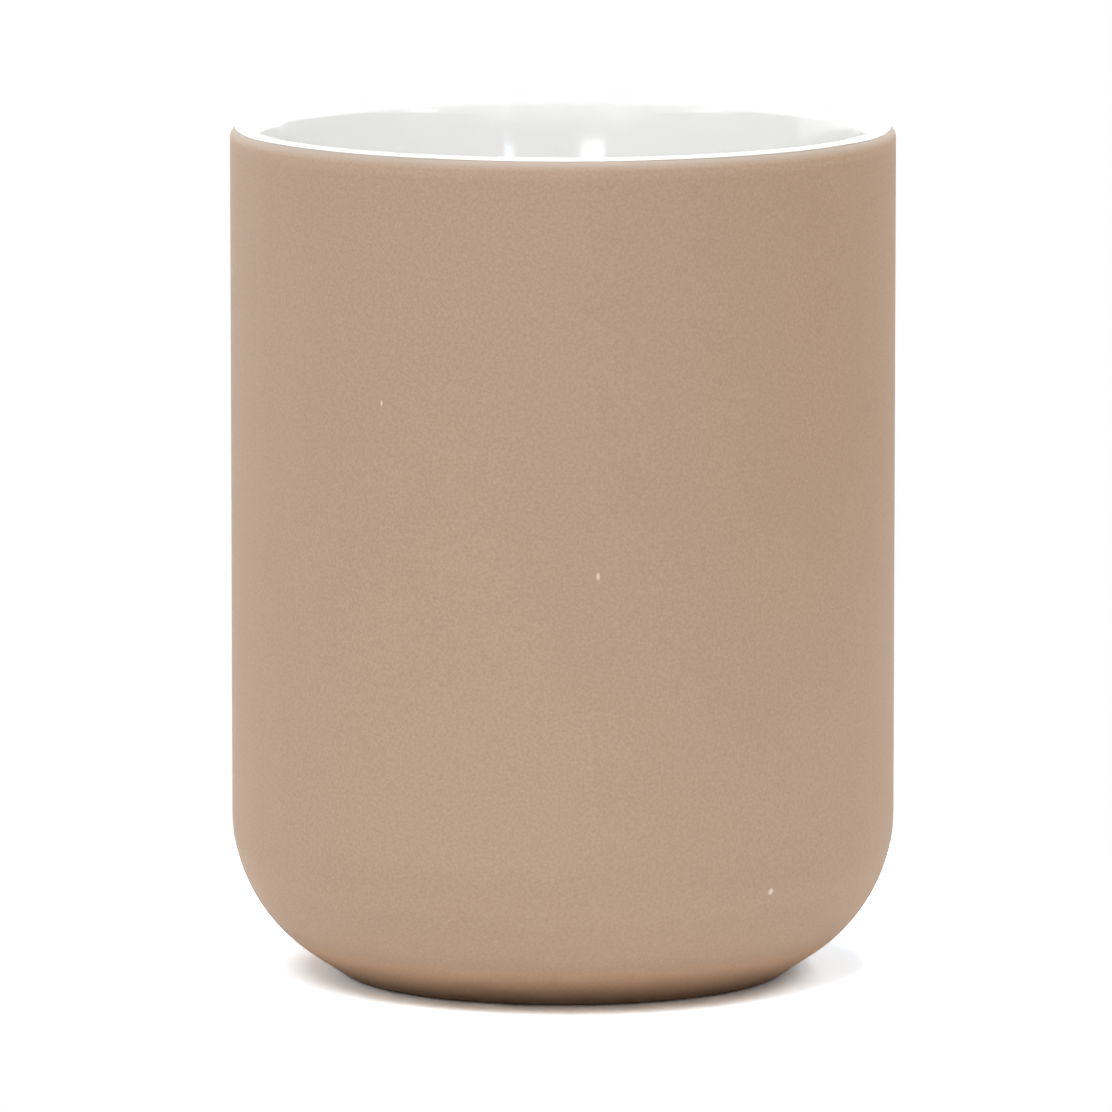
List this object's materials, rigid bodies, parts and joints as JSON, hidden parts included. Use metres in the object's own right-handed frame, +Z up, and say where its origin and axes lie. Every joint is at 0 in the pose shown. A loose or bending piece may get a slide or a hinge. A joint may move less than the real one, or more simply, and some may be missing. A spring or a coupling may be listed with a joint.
{
  "type": "bathroom tumbler",
  "caption": "Round straight-sided tumbler with a curved base, matte sand coat outside and white gloss glaze inside and over the lip, for rinsing or holding toothbrushes.",
  "frame": {"origin": "centre of the circle that the foot ring stands on", "axes": "+Z up, along the axis that the tumbler is turned about; X and Y are any two sides"},
  "size_m": [0.08, 0.08, 0.1028],
  "materials": {
    "stoneware": "matte",
    "white_glaze": "gloss",
    "sand_coat": "matte"
  },
  "bodies": {
    "root": {"stoneware_body": "stoneware", "inner_glaze": "white_glaze", "outer_coat": "sand_coat", "base_glaze": "white_glaze"}
  },
  "joints": []
}
